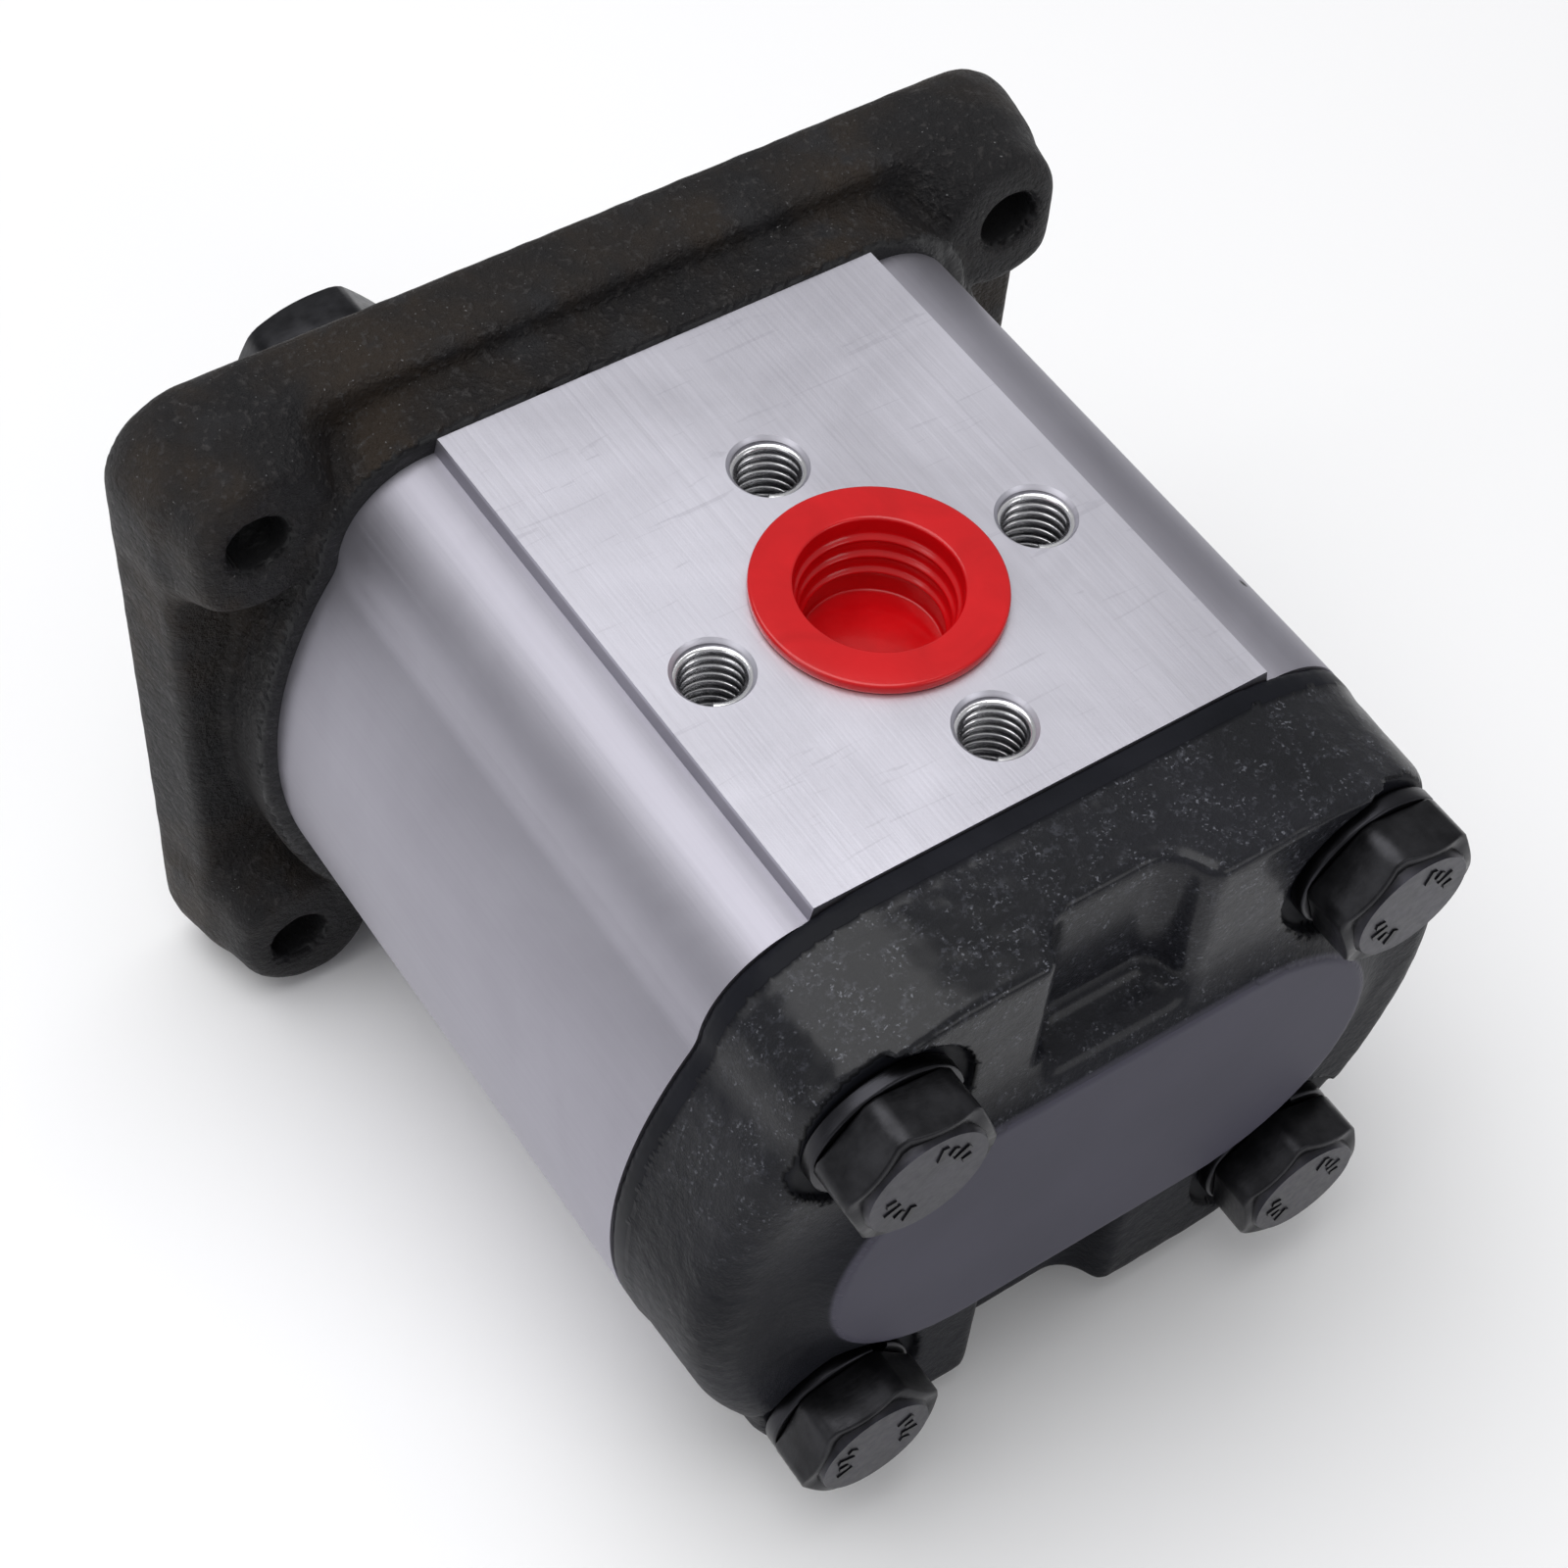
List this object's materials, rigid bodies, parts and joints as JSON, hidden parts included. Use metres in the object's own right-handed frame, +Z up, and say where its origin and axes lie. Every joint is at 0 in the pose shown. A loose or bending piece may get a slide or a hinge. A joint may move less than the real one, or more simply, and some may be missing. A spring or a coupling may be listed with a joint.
{
  "type": "hydraulic gear pump",
  "caption": "External gear pump with a four-hole cast flange, aluminium body with flanged ports, ribbed cast rear cover, hex bolts and a tapered drive shaft.",
  "frame": {"origin": "on the drive shaft axis, in the plane of the mounting face", "axes": "+Y forward out of the mounting face along the drive shaft, +X from the drive gear to the idler gear, +Z up out of the inlet port"},
  "size_m": [0.1164, 0.1493, 0.0918],
  "materials": {
    "flange_iron": "matte, dark brown-black, grainy",
    "cover_iron": "semi-gloss blue-black paint over rough casting",
    "body_aluminium": "satin, machined",
    "bolt_steel": "black oxide",
    "spring_steel": "dark spring steel",
    "shaft_hardware": "black oxide",
    "gear_steel": "ground",
    "bearing_alloy": "fine machined",
    "bush_lining": "grey lined bronze",
    "seal_rubber": "matte",
    "backup_polymer": "off-white, smooth",
    "plug_plastic": "glossy red"
  },
  "bodies": {
    "housing": {"front_flange": "flange_iron", "pump_body": "body_aluminium", "rear_cover": "cover_iron", "shaft_seal": "seal_rubber", "seal_circlip": "spring_steel", "front_bearing_block": "bearing_alloy", "front_balance_seal": "seal_rubber", "front_backup_strip": "backup_polymer", "drive_front_bush": "bush_lining", "idler_front_bush": "bush_lining", "rear_bearing_block": "bearing_alloy", "rear_balance_seal": "seal_rubber", "rear_backup_strip": "backup_polymer", "drive_rear_bush": "bush_lining", "idler_rear_bush": "bush_lining", "front_body_seal": "seal_rubber", "rear_body_seal": "seal_rubber", "front_dowel_1": "gear_steel", "front_dowel_2": "gear_steel", "rear_dowel_1": "gear_steel", "rear_dowel_2": "gear_steel", "assembly_bolt_1": "bolt_steel", "spring_washer_1": "spring_steel", "assembly_bolt_2": "bolt_steel", "spring_washer_2": "spring_steel", "assembly_bolt_3": "bolt_steel", "spring_washer_3": "spring_steel", "assembly_bolt_4": "bolt_steel", "spring_washer_4": "spring_steel"},
    "drive_shaft": {"drive_gear_shaft": "gear_steel", "shaft_key": "gear_steel", "shaft_washer": "shaft_hardware", "shaft_nut": "shaft_hardware"},
    "idler_shaft": {"idler_gear_shaft": "gear_steel"},
    "inlet_plug_body": {"inlet_plug": "plug_plastic"},
    "outlet_plug_body": {"outlet_plug": "plug_plastic"}
  },
  "joints": [
    {"name": "drive_spin", "type": "hinge", "parent": "housing", "child": "drive_shaft", "pos_m": [0, 0, 0], "axis": [0, 1, 0], "continuous": true},
    {"name": "idler_spin", "type": "hinge", "parent": "housing", "child": "idler_shaft", "pos_m": [0.0312, 0, 0], "axis": [0, 1, 0], "continuous": true},
    {"name": "inlet_plug_pull", "type": "slide", "parent": "housing", "child": "inlet_plug_body", "axis": [0, 0, 1], "range_m": [0, 0.014]},
    {"name": "outlet_plug_pull", "type": "slide", "parent": "housing", "child": "outlet_plug_body", "axis": [0, 0, -1], "range_m": [0, 0.014]}
  ],
  "couplings": [
    {"joint": "idler_spin", "follows": "drive_spin", "ratio": -1}
  ]
}
